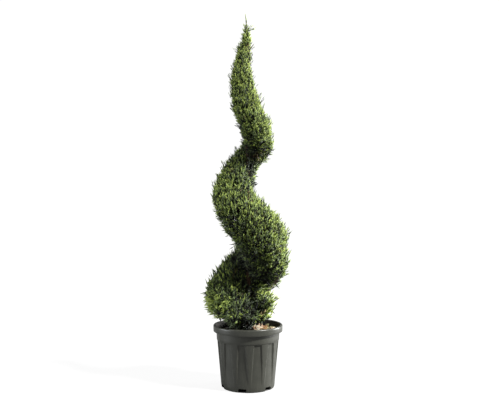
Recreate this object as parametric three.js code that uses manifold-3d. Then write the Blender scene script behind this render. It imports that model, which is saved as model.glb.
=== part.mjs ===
// Spiral topiary in its nursery pot: a conifer grown as one leader and clipped to a
// left-handed spiral band. Millimetres, +Z up, origin at the centre of the pot's flat underside.

import * as THREE from 'three';
import * as BufferGeometryUtils from 'three/addons/utils/BufferGeometryUtils.js';
import Module from 'manifold-3d';

const wasm = await Module();
wasm.setup();

// ---------------------------------------------------------------- driving dimensions

const clearance = 0.3;            // between pieces that touch

const potHeight = 271;
const rimRadius = 151;            // outside of the rolled rim
const rimDrop = 28;               // height of the rim's skirt
const collarRadius = 138.4;       // plain band under the rim
const collarHeight = 36;
const collarStep = 2;             // ledge at the collar's lower edge
const baseRadius = 115.2;
const potWall = 2.6;
const potFloor = 4;
const rimPocket = 16;             // depth of the hollow between the rim's skirt and the collar
const ledgeRound = 2.5;           // slope of the ledge under the collar
const rimLip = 11.5;              // width of the rim's rolled top
const rimLipRound = 2.6;
const rimSkirt = 4;               // thickness of the rim's skirt
const potFacets = 60;
const fluteCount = 12;
const fluteStart = -11.5;         // degrees from the front, positive towards +X
const fluteHalfWidth = 9;         // degrees, under the collar
const fluteFootHalfWidth = 13.5;  // and at the foot, so that the ribs between them taper
const fluteDepth = 4;
const notchCount = 6;
const notchStart = -11.7;         // degrees from the front
const notchWidth = 35;
const notchHeight = 13.5;
const notchDepth = 22;            // cut through the wall and into the floor's edge

const soilLevel = 243;
const soilEdgeDrop = 4;

const plantTop = 1627;
const trunkTop = 1588;
const trunkFootRadius = 17;
const trunkTipRadius = 1.6;
const rootFlare = 10;             // added at the soil, fading out in flareHeight
const flareHeight = 34;
const lean = -8;                  // sideways, at the plant's top
const trunkSway = 3;
const flareRises = [8, 18, 34];   // rings of the root flare above the soil
const trunkRings = 20;
const trunkSides = 10;

// The clipped band. At each height: the azimuth that its ridge has turned to (degrees,
// 0 at +X, 270 at the front), the ridge's and the groove's distance from the trunk's
// axis, how quickly the slice narrows from ridge to groove (1 is round, less is fuller),
// and how far round it stays full before the groove cuts in (1 is not at all).
const band = [
  { height: 254, turn: 945, reach: 70, groove: 20, taper: 1.2, breadth: 0.7 },
  { height: 286, turn: 940, reach: 110, groove: 26, taper: 1.1, breadth: 0.9 },
  { height: 320, turn: 925, reach: 156, groove: 34, taper: 1.4, breadth: 1.8 },
  { height: 368, turn: 872, reach: 180, groove: 34, taper: 1.2, breadth: 1.8 },
  { height: 425, turn: 845, reach: 184, groove: 24, taper: 2.3, breadth: 3 },
  { height: 485, turn: 804, reach: 174, groove: 20, taper: 1, breadth: 3 },
  { height: 607, turn: 720, reach: 174, groove: 18, taper: 1, breadth: 2.2 },
  { height: 745, turn: 632, reach: 170, groove: 18, taper: 0.8, breadth: 1.3 },
  { height: 859, turn: 540, reach: 148, groove: 16, taper: 1, breadth: 1 },
  { height: 977, turn: 468, reach: 127, groove: 16, taper: 1.1, breadth: 1 },
  { height: 1068, turn: 364, reach: 113, groove: 14, taper: 1, breadth: 1 },
  { height: 1150, turn: 317, reach: 107, groove: 16, taper: 0.9, breadth: 1 },
  { height: 1229, turn: 270, reach: 88, groove: 20, taper: 0.8, breadth: 1 },
  { height: 1390, turn: 180, reach: 62, groove: 17, taper: 0.9, breadth: 1 },
  { height: 1540, turn: 100, reach: 23, groove: 14, taper: 1, breadth: 1 },
  { height: 1612, turn: 60, reach: 5, groove: 4, taper: 1, breadth: 1 },
];
// The band's foot ends in an upright tuft to the front and right. At each height: its reach.
const footTuft = [[286, 30], [320, 86], [355, 112], [385, 130], [412, 128], [434, 40]];
const tuftTurn = 1042;            // azimuth of its middle, counted on from the band's turns
const tuftSpread = 24;            // degrees to either side at which it has thinned out
const tuftRise = 0.9;             // how much more its sprays turn upwards

const massTurns = [72, 200, 310, 420, 530, 640, 750, 860, 970, 1090];   // where masses part
const massGap = 0.8;              // degrees that each mass keeps off its side planes
const leaderFoot = 1430;          // where the leader's mass leaves the trunk
const leaderFlare = 1.6;          // rise of its underside for each millimetre outwards
const leaderGap = 1.2;            // between its underside and the first mass
const leaderRises = [0, 14, 32, 60, 90, 120, 150];   // rings of the leader's core above its foot
const leaderShare = 0.72;         // its core's radius as a share of the outline's
const leaderSides = 10;
const pointRadius = 0.9;          // at the very tip of the plant
const crownFoot = 258;

const coreInset = 7;              // core surface inside the clipped outline, least
const coreInsetShare = 0.13;      // and share of the ridge's reach
const wallGapLow = 22;            // hollow round the trunk, low and high in the crown
const wallGapHigh = 7;

const sprayRoot = 9;              // how deep a spray's root sits in the core
const sprayThickness = 2.4;
const sprayAspect = 0.42;         // width for each unit of length
const longestSpray = 105;
const spraySpacingLow = 71;       // between sprays, low and high in the crown
const spraySpacingHigh = 40;
const sprayRise = 0.75;           // how far a spray turns upwards from the surface
const levelSprayTop = 310;        // sprays stand level up to here
const levelSprayBand = 150;       // and turn to their full rise over this much more
const clippedLow = -2;            // how far a clipped tip ends from the outline
const clippedHigh = 9;
const sprayWander = 0.22;         // random part of a spray's heading
const sprayTries = 3;             // draws for a spray that keeps to its own mass
const sprayGap = 1.2;             // from a spray to the next mass, or to the trunk
const furthestFromRidge = 174;    // degrees: no spray goes round to the groove's other side
const looseTips = [
  // height, azimuth and how far the missed tip stands past the outline
  [352, 908, 18], [372, 898, 22], [392, 884, 16], [340, 850, 12], [420, 800, 12],
  [560, 738, 15], [596, 722, 18], [628, 712, 15], [500, 812, 12], [700, 650, 12],
  [820, 560, 14], [868, 540, 14], [905, 520, 12], [1010, 372, 12], [1110, 352, 10],
  [1165, 330, 10], [1290, 185, 10],
];

const boughRise = 0.6;            // tangent of the bough's angle above level
const boughShare = 0.42;          // bough's radius as a share of the trunk's
const boughTip = 0.75;            // and its tip's as a share of its own
const stemTip = 0.5;
const boughLength = 0.62;         // share of the hollow round the trunk that the bough crosses
const stemLength = 0.35;          // how far its stem goes into the mass

// ---------------------------------------------------------------- small helpers

const degrees = THREE.MathUtils.degToRad;
const clamp = THREE.MathUtils.clamp;
const up = new THREE.Vector3(0, 0, 1);

function seededDraws(seed) {
  let state = seed;
  return (low, high) => {
    state = (state * 1664525 + 1013904223) % 4294967296;
    return low + (high - low) * (state / 4294967296);
  };
}

// A smooth curve through one column of the band's table.
function bandValue(height, column) {
  const last = band.length - 1;
  let row = 0;
  while (row < last - 1 && height > band[row + 1].height) row += 1;
  const slope = (k) => {
    const before = band[Math.max(k - 1, 0)];
    const after = band[Math.min(k + 1, last)];
    return (after[column] - before[column]) / (after.height - before.height);
  };
  const step = band[row + 1].height - band[row].height;
  const t = clamp((height - band[row].height) / step, 0, 1);
  const rise = t * t * (3 - 2 * t);
  const start = t * (1 - t) * (1 - t) * step * slope(row);
  const end = t * t * (t - 1) * step * slope(row + 1);
  return band[row][column] * (1 - rise) + band[row + 1][column] * rise + start + end;
}

function solidFrom(geometry) {
  const bare = geometry.index ? geometry.toNonIndexed() : geometry.clone();
  bare.deleteAttribute('normal');
  bare.deleteAttribute('uv');
  const merged = BufferGeometryUtils.mergeVertices(bare, 1e-4);
  return new wasm.Manifold(new wasm.Mesh({
    numProp: 3,
    vertProperties: new Float32Array(merged.attributes.position.array),
    triVerts: new Uint32Array(merged.index.array),
  }));
}

function geometryFrom(solid) {
  const { vertProperties, triVerts } = solid.getMesh();
  const geometry = new THREE.BufferGeometry();
  geometry.setAttribute('position', new THREE.BufferAttribute(new Float32Array(vertProperties), 3));
  geometry.setIndex(new THREE.BufferAttribute(new Uint32Array(triVerts), 1));
  geometry.computeVertexNormals();
  return geometry;
}

// Triangles that close a ring whose first and last points see the rest from one side.
function lid(ring) {
  const normal = new THREE.Vector3();
  ring.forEach((point, k) => normal.add(point.clone().cross(ring[(k + 1) % ring.length])));
  const bends = (a, b, c) => b.clone().sub(a).cross(c.clone().sub(b)).dot(normal) > 0;
  const faces = [];
  const open = [];
  for (const point of ring) {
    while (open.length > 1 && bends(open[open.length - 2], open[open.length - 1], point)) {
      const corner = open.pop();
      faces.push([open[open.length - 1], corner, point]);
    }
    open.push(point);
  }
  return faces;
}

// A closed skin over rings of points, each going anticlockwise seen from the ring after it.
function loft(rings) {
  const count = rings[0].length;
  const corners = [];
  for (let k = 0; k + 1 < rings.length; k += 1) {
    for (let j = 0; j < count; j += 1) {
      const next = (j + 1) % count;
      corners.push(rings[k][j], rings[k][next], rings[k + 1][next]);
      corners.push(rings[k][j], rings[k + 1][next], rings[k + 1][j]);
    }
  }
  for (const [a, b, c] of lid(rings[0])) corners.push(a, c, b);
  for (const [a, b, c] of lid(rings[rings.length - 1])) corners.push(a, b, c);
  return new THREE.BufferGeometry().setFromPoints(corners);
}

// A limb through the points, with a radius at each.
function limb(points, radii, sides) {
  const rings = points.map((point, k) => {
    const before = points[Math.max(k - 1, 0)];
    const after = points[Math.min(k + 1, points.length - 1)];
    const turn = new THREE.Quaternion().setFromUnitVectors(up, after.clone().sub(before).normalize());
    return Array.from({ length: sides }, (_, j) => {
      const angle = (2 * Math.PI * j) / sides;
      const spoke = new THREE.Vector3(Math.cos(angle), Math.sin(angle), 0);
      return spoke.multiplyScalar(radii[k]).applyQuaternion(turn).add(point);
    });
  });
  return loft(rings);
}

// ---------------------------------------------------------------- materials

const potPlastic = new THREE.MeshStandardMaterial({ color: 0x45463f, roughness: 0.62, metalness: 0 });
const pottingMix = new THREE.MeshStandardMaterial({ color: 0x2a211b, roughness: 0.95, metalness: 0 });
const bark = new THREE.MeshStandardMaterial({ color: 0x6d4b3a, roughness: 0.9, metalness: 0 });
const needles = new THREE.MeshStandardMaterial({ color: 0x557a33, roughness: 0.75, metalness: 0 });
const chipBark = new THREE.MeshStandardMaterial({ color: 0xb08a68, roughness: 0.9, metalness: 0 });

const group = new THREE.Group();

function place(name, geometry, material) {
  const mesh = new THREE.Mesh(geometry, material);
  mesh.name = name;
  group.add(mesh);
  return mesh;
}

// ---------------------------------------------------------------- pot

function potOuterRadius(height) {
  const collarFoot = potHeight - rimDrop - collarHeight;
  const share = clamp(height / collarFoot, 0, 1);
  return baseRadius + (collarRadius - collarStep - ledgeRound - baseRadius) * share;
}

function fluteCut(angle, height) {
  const collarFoot = potHeight - rimDrop - collarHeight;
  const fade = clamp((height - 0.2 * collarFoot) / (0.75 * collarFoot), 0, 1);
  const spacing = 360 / fluteCount;
  const off = ((((angle - fluteStart) % spacing) + 1.5 * spacing) % spacing) - spacing / 2;
  const halfWidth = fluteHalfWidth
    + (fluteFootHalfWidth - fluteHalfWidth) * clamp(1 - height / collarFoot, 0, 1);
  const across = clamp(1 - Math.abs(off) / halfWidth, 0, 1);
  return fluteDepth * fade * Math.min(1, 1.6 * across);
}

function makePot() {
  const rimFoot = potHeight - rimDrop;
  const collarFoot = rimFoot - collarHeight;
  const bodyRows = [12, 0.3 * collarFoot, 0.7 * collarFoot, collarFoot - 2];
  const profile = [
    [0, 0], [baseRadius - 4, 0], [baseRadius - 0.6, 3],
    ...bodyRows.map((height) => [potOuterRadius(height), height]),
    [collarRadius - ledgeRound, collarFoot], [collarRadius, rimFoot + rimPocket],
    [rimRadius - rimSkirt - 1, rimFoot + rimPocket], [rimRadius - rimSkirt, rimFoot],
    [rimRadius - 0.6, rimFoot], [rimRadius, potHeight - 9],
    [rimRadius - rimLipRound, potHeight - rimLipRound], [rimRadius - 7, potHeight],
    [rimRadius - rimLip, potHeight - 3], [collarRadius - potWall, rimFoot + 8],
    [collarRadius - potWall - 3, collarFoot + 0.5],
    ...[...bodyRows].reverse().map((height) => [potOuterRadius(height) - potWall, height]),
    [baseRadius - potWall - 6, potFloor], [0, potFloor],
  ].map(([radius, height]) => new THREE.Vector2(radius, height));
  const shell = new THREE.LatheGeometry(profile, potFacets);
  shell.rotateX(Math.PI / 2);
  const points = shell.attributes.position;
  for (let k = 0; k < points.count; k += 1) {
    const [x, y, z] = [points.getX(k), points.getY(k), points.getZ(k)];
    const radius = Math.hypot(x, y);
    const onBody = z > potFloor + 1 && z < collarFoot - 1 && radius > baseRadius - potWall;
    if (onBody) {
      const angle = THREE.MathUtils.radToDeg(Math.atan2(x, -y));
      const share = 1 - fluteCut(angle, z) / radius;
      points.setXY(k, x * share, y * share);
    }
  }
  let pot = solidFrom(shell);
  for (let k = 0; k < notchCount; k += 1) {
    const cutter = new THREE.BoxGeometry(notchWidth, notchDepth, 2 * notchHeight);
    const angle = degrees(notchStart + (360 / notchCount) * k);
    cutter.translate(0, -baseRadius - 3, 0);
    cutter.rotateZ(angle);
    pot = pot.subtract(solidFrom(cutter));
  }
  return geometryFrom(pot);
}

function makeSoil() {
  const rimFoot = potHeight - rimDrop;
  const collarFoot = rimFoot - collarHeight;
  const inset = clearance + 0.1;
  const profile = [
    [0, potFloor + inset], [baseRadius - potWall - 6.4 - inset, potFloor + inset],
    [baseRadius - potWall - inset, potFloor + 8 + inset],
    [potOuterRadius(collarFoot) - potWall - fluteDepth - inset, collarFoot - 1],
    [collarRadius - potWall - 3 - inset, collarFoot + 1],
    [collarRadius - potWall - 1 - inset, soilLevel - soilEdgeDrop],
    [collarRadius - 22, soilLevel], [0, soilLevel],
  ].map(([radius, height]) => new THREE.Vector2(radius, height));
  const soil = new THREE.LatheGeometry(profile, 36);
  soil.rotateX(Math.PI / 2);
  return geometryFrom(solidFrom(soil));
}

// ---------------------------------------------------------------- trunk

function axisAt(height) {
  const share = clamp((height - soilLevel) / (plantTop - soilLevel), 0, 1);
  const sway = trunkSway * Math.sin(3 * Math.PI * share) * share;
  return new THREE.Vector3(lean * share ** 1.3, sway, height);
}

function trunkRadius(height) {
  const share = clamp((height - soilLevel) / (trunkTop - soilLevel), 0, 1);
  const flare = rootFlare * clamp(1 - (height - soilLevel) / flareHeight, 0, 1) ** 2;
  return trunkTipRadius + (trunkFootRadius - trunkTipRadius) * (1 - share) ** 0.85 + flare;
}

function makeTrunk(growth, reachDown) {
  const heights = [soilLevel + clearance - reachDown];
  for (const rise of flareRises) heights.push(soilLevel + rise);
  for (let k = 1; k <= trunkRings; k += 1) {
    heights.push(soilLevel + flareHeight + ((trunkTop - soilLevel - flareHeight) * k) / trunkRings);
  }
  heights[heights.length - 1] += growth;
  const points = heights.map((height) => axisAt(height));
  points[0].copy(axisAt(soilLevel)).setZ(heights[0]);
  const radii = heights.map((height) => trunkRadius(height) + growth);
  return limb(points, radii, trunkSides);
}

// ---------------------------------------------------------------- the clipped band

function wallRadius(height) {
  const share = clamp((height - crownFoot) / (leaderFoot - crownFoot), 0, 1);
  return trunkRadius(height) + wallGapLow + (wallGapHigh - wallGapLow) * share;
}

// How much of an azimuth's foliage is the tuft's: 1 at its middle.
function tuftShare(azimuth) {
  const off = ((((azimuth - tuftTurn) % 360) + 540) % 360) - 180;
  return Math.exp(-((off / tuftSpread) ** 2));
}

function tuftReach(height, azimuth) {
  const row = footTuft.findIndex(([top]) => top >= height);
  if (row < 1) return 0;
  const [[low, before], [high, after]] = [footTuft[row - 1], footTuft[row]];
  const reach = before + ((after - before) * (height - low)) / (high - low);
  return reach * tuftShare(azimuth);
}

// Distance from the trunk's axis to the clipped outline, at an azimuth that may pass 360.
function outline(height, azimuth) {
  const fromRidge = degrees(azimuth - bandValue(height, 'turn'));
  const groove = bandValue(height, 'groove');
  const hollow = ((1 - Math.cos(fromRidge)) / 2) ** bandValue(height, 'breadth');
  const fullness = (1 - hollow) ** bandValue(height, 'taper');
  const clipped = groove + (bandValue(height, 'reach') - groove) * fullness;
  return Math.max(clipped, tuftReach(height, azimuth));
}

function inset(height) {
  return coreInset + coreInsetShare * bandValue(height, 'reach');
}

function coreRadius(height, azimuth) {
  return outline(height, azimuth) - inset(height);
}

// Where foliage may start: outside the hollow round the trunk and outside the leader's foot.
function innerRadius(height) {
  return wallRadius(height) + Math.max(0, height - leaderFoot) / leaderFlare;
}

function pointAt(height, azimuth, radius) {
  const angle = degrees(azimuth);
  return axisAt(height).add(new THREE.Vector3(radius * Math.cos(angle), radius * Math.sin(angle), 0));
}

// The heights between which a mass's core stands clear of the hollow at one azimuth.
function coreSpan(azimuth) {
  const step = 4;
  const depth = (height) => {
    const off = Math.abs(azimuth - bandValue(height, 'turn'));
    return off < 180 ? coreRadius(height, azimuth) - innerRadius(height) - 2 : -1;
  };
  let best = { height: crownFoot, depth: -1 };
  for (let height = crownFoot; height < leaderFoot + 90; height += step) {
    if (depth(height) > best.depth) best = { height, depth: depth(height) };
  }
  let low = best.height;
  while (low - step > crownFoot && depth(low - step) > 0) low -= step;
  let high = best.height;
  while (depth(high + step) > 0) high += step;
  return { low, high, widest: best.height };
}

// ---------------------------------------------------------------- sprays

// A spray of scale leaves: a blade with three teeth, standing along +Y from its root.
function sprayBlade(length, width) {
  const half = width / 2;
  const neck = 0.3 * half;
  const shape = new THREE.Shape([
    new THREE.Vector2(-neck, 0), new THREE.Vector2(neck, 0),
    new THREE.Vector2(half, 0.74 * length), new THREE.Vector2(0.36 * half, 0.64 * length),
    new THREE.Vector2(0, length),
    new THREE.Vector2(-0.4 * half, 0.5 * length), new THREE.Vector2(-half, 0.58 * length),
  ]);
  const blade = new THREE.ExtrudeGeometry(shape, { depth: sprayThickness, bevelEnabled: false });
  blade.translate(0, 0, -sprayThickness / 2);
  return blade;
}

function turnedSpray(root, tip, roll) {
  const reach = tip.clone().sub(root);
  const length = reach.length();
  const blade = sprayBlade(length, sprayAspect * length);
  const turn = new THREE.Quaternion().setFromUnitVectors(new THREE.Vector3(0, 1, 0), reach.normalize());
  const spin = new THREE.Quaternion().setFromAxisAngle(new THREE.Vector3(0, 1, 0), roll);
  blade.applyQuaternion(turn.multiply(spin));
  blade.translate(root.x, root.y, root.z);
  return blade;
}

function bandPlace(point) {
  const axis = axisAt(point.z);
  const radius = Math.hypot(point.x - axis.x, point.y - axis.y);
  const azimuth = THREE.MathUtils.radToDeg(Math.atan2(point.y - axis.y, point.x - axis.x));
  const turn = bandValue(point.z, 'turn');
  const fromRidge = ((((azimuth - turn) % 360) + 540) % 360) - 180;
  return { radius, fromRidge, azimuth: turn + fromRidge };
}

function keepsToMass(geometry, from, to) {
  const points = geometry.attributes.position;
  for (let k = 0; k < points.count; k += 1) {
    const point = new THREE.Vector3().fromBufferAttribute(points, k);
    const { radius, fromRidge, azimuth } = bandPlace(point);
    const side = THREE.MathUtils.radToDeg(sprayGap / radius);
    if (point.z < crownFoot - 14 || Math.abs(fromRidge) > furthestFromRidge) return false;
    if (azimuth < from + side || azimuth > to - side) return false;
    if (radius < innerRadius(point.z) + 1) return false;
  }
  return true;
}

function keepsToLeader(geometry) {
  const points = geometry.attributes.position;
  for (let k = 0; k < points.count; k += 1) {
    const point = new THREE.Vector3().fromBufferAttribute(points, k);
    const { radius } = bandPlace(point);
    if (point.z > plantTop - 8 || radius > innerRadius(point.z) - sprayGap) return false;
    if (point.z < trunkTop + 4 && radius < trunkRadius(point.z) + sprayGap) return false;
  }
  return true;
}

// Root and tip of the spray that ends on the outline at a height and azimuth.
function sprayLine(height, azimuth, proud, draw, coreAt, hollowAt) {
  const step = 6;
  const inTuft = tuftReach(height, azimuth) > 0 ? tuftShare(azimuth) : 0;
  const rise = sprayRise * clamp((height - levelSprayTop) / levelSprayBand, 0, 1) + tuftRise * inTuft;
  const here = pointAt(height, azimuth, outline(height, azimuth));
  const above = pointAt(height + step, azimuth, outline(height + step, azimuth));
  const beside = pointAt(height, azimuth + 2, outline(height, azimuth + 2));
  const outward = beside.sub(here).cross(above.sub(here)).normalize();
  const wander = new THREE.Vector3(draw(-1, 1), draw(-1, 1), draw(-1, 1)).multiplyScalar(sprayWander);
  const heading = outward.clone().addScaledVector(up, rise).add(wander).normalize();
  const tip = here.addScaledVector(heading, proud);
  for (let length = 18; length < longestSpray; length += 4) {
    const root = tip.clone().addScaledVector(heading, -length);
    const { radius, azimuth: rootAzimuth } = bandPlace(root);
    const core = coreAt(root.z, rootAzimuth);
    const sunk = core - radius > Math.min(sprayRoot, 0.45 * core);
    if (sunk && root.z > crownFoot + 3 && radius > hollowAt(root.z) + 2) return { root, tip };
  }
  return null;
}

// ---------------------------------------------------------------- boughs and masses

function makeCore(spans, facets, draw) {
  const rings = spans.map(({ azimuth, low, high }) => {
    const top = Math.min(high, leaderFoot - clearance);
    const ring = [pointAt(top, azimuth, wallRadius(top))];
    for (let k = 0; k <= facets; k += 1) {
      const height = (high + low) / 2 + ((high - low) / 2) * Math.cos((Math.PI * k) / facets);
      const depth = Math.max(coreRadius(height, azimuth) - innerRadius(height), 2);
      const bump = draw(-0.2, 0.2) * Math.min(depth - 2, inset(height));
      ring.push(pointAt(height, azimuth, innerRadius(height) + depth + bump));
    }
    ring.push(pointAt(low, azimuth, wallRadius(low)));
    return ring;
  });
  return solidFrom(loft(rings));
}

function makeBough(azimuth, height) {
  const trunkHere = trunkRadius(height);
  const wall = wallRadius(height);
  const radius = boughShare * trunkHere;
  const foot = axisAt(height);
  const heading = new THREE.Vector3(Math.cos(degrees(azimuth)), Math.sin(degrees(azimuth)), boughRise);
  const at = (out) => foot.clone().addScaledVector(heading, out);
  const tipOut = trunkHere + boughLength * (wall - trunkHere);
  const gapOut = clearance / heading.length();
  const boughSolid = solidFrom(limb([at(0.2 * trunkHere), at(tipOut)], [radius, boughTip * radius], 8));
  const stemEnd = wall + stemLength * (coreRadius(height, azimuth) - wall);
  const stem = solidFrom(limb([at(tipOut + gapOut), at(stemEnd)], [boughTip * radius, stemTip * radius], 8));
  return { boughSolid, stem };
}

function spraysOver(from, to, spans, draw, keeps, coreAt, hollowAt) {
  const sprays = [];
  const low = Math.min(...spans.map((span) => span.low));
  const high = Math.max(...spans.map((span) => span.high));
  const share = (height) => clamp((height - crownFoot) / (leaderFoot - crownFoot), 0, 1);
  let height = low - 6;
  while (height < high + 20) {
    const spacing = spraySpacingLow + (spraySpacingHigh - spraySpacingLow) * share(height);
    const reach = 0.8 * bandValue(height, 'reach');
    const turnStep = THREE.MathUtils.radToDeg(spacing / Math.max(reach, 12));
    for (let azimuth = from + draw(0, turnStep); azimuth < to; azimuth += turnStep) {
      const spot = height + draw(-0.4, 0.4) * spacing;
      for (let attempt = 0; attempt < sprayTries; attempt += 1) {
        const line = sprayLine(spot, azimuth, draw(clippedLow, clippedHigh), draw, coreAt, hollowAt);
        if (!line) continue;
        const blade = turnedSpray(line.root, line.tip, draw(0, Math.PI));
        if (!keeps(blade, from, to)) continue;
        sprays.push(solidFrom(blade));
        break;
      }
    }
    height += 0.8 * spacing;
  }
  for (const [spot, azimuth, proud] of looseTips) {
    if (azimuth < from || azimuth > to) continue;
    const line = sprayLine(spot, azimuth, proud, draw, coreAt, hollowAt);
    if (!line) continue;
    const blade = turnedSpray(line.root, line.tip, draw(0, Math.PI));
    if (keeps(blade, from, to)) sprays.push(solidFrom(blade));
  }
  return sprays;
}

function fused(solids) {
  let layer = solids;
  while (layer.length > 1) {
    const pairs = [];
    for (let k = 0; k < layer.length; k += 2) {
      pairs.push(k + 1 < layer.length ? layer[k].add(layer[k + 1]) : layer[k]);
    }
    layer = pairs;
  }
  const pieces = layer[0].decompose();
  return pieces.reduce((best, piece) => (piece.volume() > best.volume() ? piece : best));
}

function makeMass(index) {
  const draw = seededDraws(71 + 13 * index);
  const from = massTurns[index];
  const to = massTurns[index + 1];
  const steps = 5;
  const spans = Array.from({ length: steps }, (_, k) => {
    const azimuth = from + massGap + ((to - from - 2 * massGap) * k) / (steps - 1);
    return { azimuth, ...coreSpan(azimuth) };
  });
  const middle = spans[(steps - 1) / 2];
  const bough = makeBough(middle.azimuth, middle.widest - boughRise * wallRadius(middle.widest));
  const core = makeCore(spans, 9, draw);
  const sprays = spraysOver(from, to, spans, draw, keepsToMass, coreRadius, wallRadius);
  return { bough: bough.boughSolid, mass: fused([core, bough.stem, ...sprays]) };
}

// The leader: the uncut top shoot, round the trunk's thin end and on to the plant's tip.
function makeLeader(trunkSpace) {
  const draw = seededDraws(17);
  const footRadius = wallRadius(leaderFoot);
  const coreAt = (height, azimuth) => {
    const flare = footRadius + (height - leaderFoot) / leaderFlare - leaderGap;
    return Math.min(leaderShare * outline(height, azimuth), flare);
  };
  const heights = leaderRises.map((rise) => leaderFoot + clearance + rise);
  const rings = heights.map((height) => Array.from({ length: leaderSides }, (_, j) => {
    const azimuth = (360 * j) / leaderSides;
    return pointAt(height, azimuth, Math.max(coreAt(height, azimuth) * draw(0.9, 1.08), 3.4));
  }));
  for (const [height, radius] of [[trunkTop + 6, 3.2], [plantTop, pointRadius]]) {
    const azimuths = Array.from({ length: leaderSides }, (_, j) => (360 * j) / leaderSides);
    rings.push(azimuths.map((azimuth) => pointAt(height, azimuth, radius)));
  }
  const spans = [{ low: leaderFoot + 4, high: trunkTop }];
  const sprays = spraysOver(0, 360, spans, draw, keepsToLeader, coreAt, trunkRadius);
  return fused([solidFrom(loft(rings)), ...sprays]).subtract(trunkSpace);
}

// ---------------------------------------------------------------- bark chips and pebbles

const chips = [
  // across, back, length, width, height, turn
  [20, 42, 19, 18, 22, 10], [47, 32, 28, 17, 17, -12], [77, 38, 22, 16, 15, 30],
  [103, 32, 24, 15, 12, 70], [22, 72, 28, 17, 21, 15], [55, 62, 28, 17, 21, -30],
  [85, 68, 26, 16, 18, 40], [46, 5, 18, 12, 9, 50], [76, 8, 18, 12, 9, -10],
];

function makeChip([across, back, length, width, height, turn], draw) {
  const chip = new THREE.DodecahedronGeometry(0.5, 0);
  chip.scale(length, width, height);
  chip.rotateZ(degrees(turn + draw(-8, 8)));
  chip.computeBoundingBox();
  chip.translate(across, back, soilLevel + clearance - chip.boundingBox.min.z);
  return geometryFrom(solidFrom(chip));
}

// ---------------------------------------------------------------- assembly

place('pot', makePot(), potPlastic);
place('potting_soil', makeSoil(), pottingMix);
place('trunk', geometryFrom(solidFrom(makeTrunk(0, 0))), bark);

const trunkSpace = solidFrom(makeTrunk(clearance, 6));
for (let k = 0; k + 1 < massTurns.length; k += 1) {
  const { bough, mass } = makeMass(k);
  place(`bough_${k + 1}`, geometryFrom(bough.subtract(trunkSpace)), bark);
  place(`foliage_${k + 1}`, geometryFrom(mass), needles);
}
place('foliage_leader', geometryFrom(makeLeader(trunkSpace)), needles);

const chipDraw = seededDraws(5);
chips.forEach((chip, k) => place(`bark_chip_${k + 1}`, makeChip(chip, chipDraw), chipBark));

export default group;
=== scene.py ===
"""Looks of the spiral topiary: camera, light, pot, potting mix, bark and clipped foliage. Metres."""
import math

import bmesh
import bpy
import numpy as np
from mathutils import Matrix, Vector, noise


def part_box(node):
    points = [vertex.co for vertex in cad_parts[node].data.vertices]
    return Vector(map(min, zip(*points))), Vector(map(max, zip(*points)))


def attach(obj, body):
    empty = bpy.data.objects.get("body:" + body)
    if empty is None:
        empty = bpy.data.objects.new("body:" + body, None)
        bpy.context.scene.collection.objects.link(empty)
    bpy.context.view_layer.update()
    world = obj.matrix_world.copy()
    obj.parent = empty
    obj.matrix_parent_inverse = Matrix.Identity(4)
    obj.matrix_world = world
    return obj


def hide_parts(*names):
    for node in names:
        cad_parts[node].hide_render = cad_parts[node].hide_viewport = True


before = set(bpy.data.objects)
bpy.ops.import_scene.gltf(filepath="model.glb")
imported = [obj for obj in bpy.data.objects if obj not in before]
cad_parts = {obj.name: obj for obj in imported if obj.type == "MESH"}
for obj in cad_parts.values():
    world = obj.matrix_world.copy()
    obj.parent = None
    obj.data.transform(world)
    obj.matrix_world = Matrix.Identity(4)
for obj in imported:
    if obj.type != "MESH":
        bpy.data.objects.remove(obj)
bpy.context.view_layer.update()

MM = 0.001

# -------------------- sizes of the solids, mm

POT_HEIGHT = 271
RIM_RADIUS = 151
RIM_DROP = 28
RIM_POCKET = 16
COLLAR_RADIUS = 138.4
COLLAR_HEIGHT = 36
COLLAR_FOOT = POT_HEIGHT - RIM_DROP - COLLAR_HEIGHT
COLLAR_STEP = 2
LEDGE_ROUND = 2.5
BASE_RADIUS = 115.2
POT_WALL = 2.6
POT_FLOOR = 4
FLUTES = 12
FLUTE_START = -11.5
FLUTE_FOOT_HALF_WIDTH = 13.5
NOTCHES = 6
NOTCH_START = -11.7
NOTCH_WIDTH = 35

SOIL_LEVEL = 243
SOIL_EDGE_DROP = 4
CHIPS = 9

PLANT_TOP = 1627
TRUNK_TOP = 1588
TRUNK_FOOT_RADIUS = 17
TRUNK_TIP_RADIUS = 1.6
ROOT_FLARE = 10
FLARE_HEIGHT = 34
LEAN = -8
TRUNK_SWAY = 3
BOUGH_RISE = 0.6
BOUGH_SHARE = 0.42  # a main bough's radius as a share of the trunk's

# The clipped band: height, azimuth its ridge has turned to (degrees, 0 at +X and 270 at the front),
# distance of ridge and groove from the trunk's axis, how quickly the slice narrows from ridge to
# groove, and how far round it stays full.
BAND = np.array([
    (254, 945, 70, 20, 1.2, 0.7), (286, 940, 110, 26, 1.1, 0.9), (320, 925, 156, 34, 1.4, 1.8),
    (368, 872, 180, 34, 1.2, 1.8), (425, 845, 184, 24, 2.3, 3), (485, 804, 174, 20, 1, 3),
    (607, 720, 174, 18, 1, 2.2), (745, 632, 170, 18, 0.8, 1.3), (859, 540, 148, 16, 1, 1),
    (977, 468, 127, 16, 1.1, 1), (1068, 364, 113, 14, 1, 1), (1150, 317, 107, 16, 0.9, 1),
    (1229, 270, 88, 20, 0.8, 1), (1390, 180, 62, 17, 0.9, 1), (1540, 100, 23, 14, 1, 1),
    (1612, 60, 5, 4, 1, 1),
], float)
TURN, REACH, GROOVE, TAPER, BREADTH = 1, 2, 3, 4, 5
# The foot's last tuft, to the front and right: heights and how far it reaches at each.
TUFT_HEIGHTS = (286, 320, 355, 385, 412, 434)
TUFT_REACH = (30, 86, 112, 130, 128, 40)
TUFT_TURN = 1042
TUFT_SPREAD = 24
TUFT_RISE = 0.9

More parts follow.
